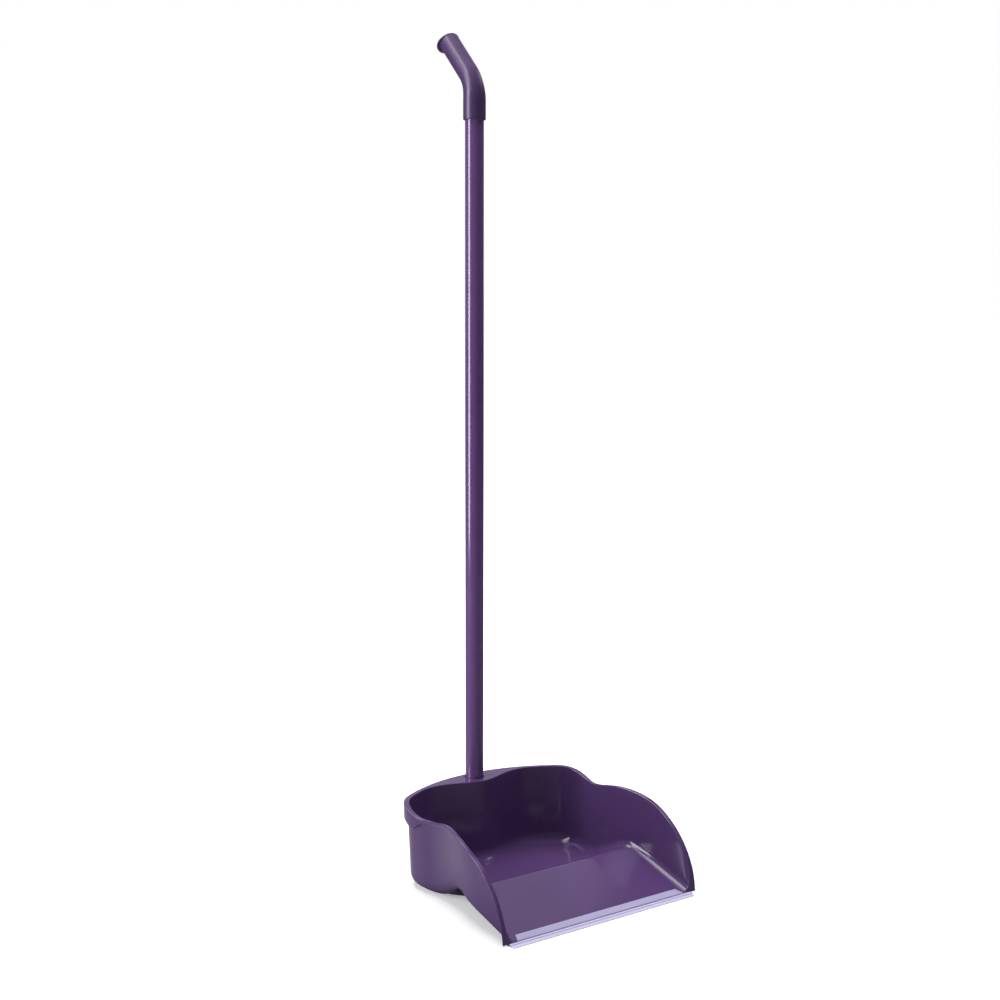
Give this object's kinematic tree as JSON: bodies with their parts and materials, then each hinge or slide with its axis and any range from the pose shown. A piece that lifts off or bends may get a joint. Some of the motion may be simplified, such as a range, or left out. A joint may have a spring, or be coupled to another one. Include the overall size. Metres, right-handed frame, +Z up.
{
  "type": "long-handled dustpan",
  "caption": "Long-handled dustpan: moulded pan with rear well, ramp and curved wings, soft front lip, and a bent steel tube handle that lifts out of its socket.",
  "frame": {"origin": "centre of the flat underside of the well, where the pan stands on the floor", "axes": "+Z up along the handle, -Y forwards to the lip, X across the pan"},
  "size_m": [0.274, 0.3217, 0.9875],
  "materials": {
    "pan": "moulded polypropylene, glossy",
    "lip": "extruded soft thermoplastic, satin",
    "tube": "powder-coated steel, glossy",
    "plug": "moulded, matt",
    "grip": "moulded sleeve, satin",
    "cap": "moulded cap, satin"
  },
  "bodies": {
    "pan": {"pan": "pan", "lip_strip": "lip"},
    "handle": {"handle_tube": "tube", "foot_plug": "plug", "grip_sleeve": "grip", "end_cap": "cap"}
  },
  "joints": [
    {"name": "handle_lift", "type": "slide", "parent": "pan", "child": "handle", "axis": [0, 0, 1], "range_m": [0, 0.078]}
  ]
}
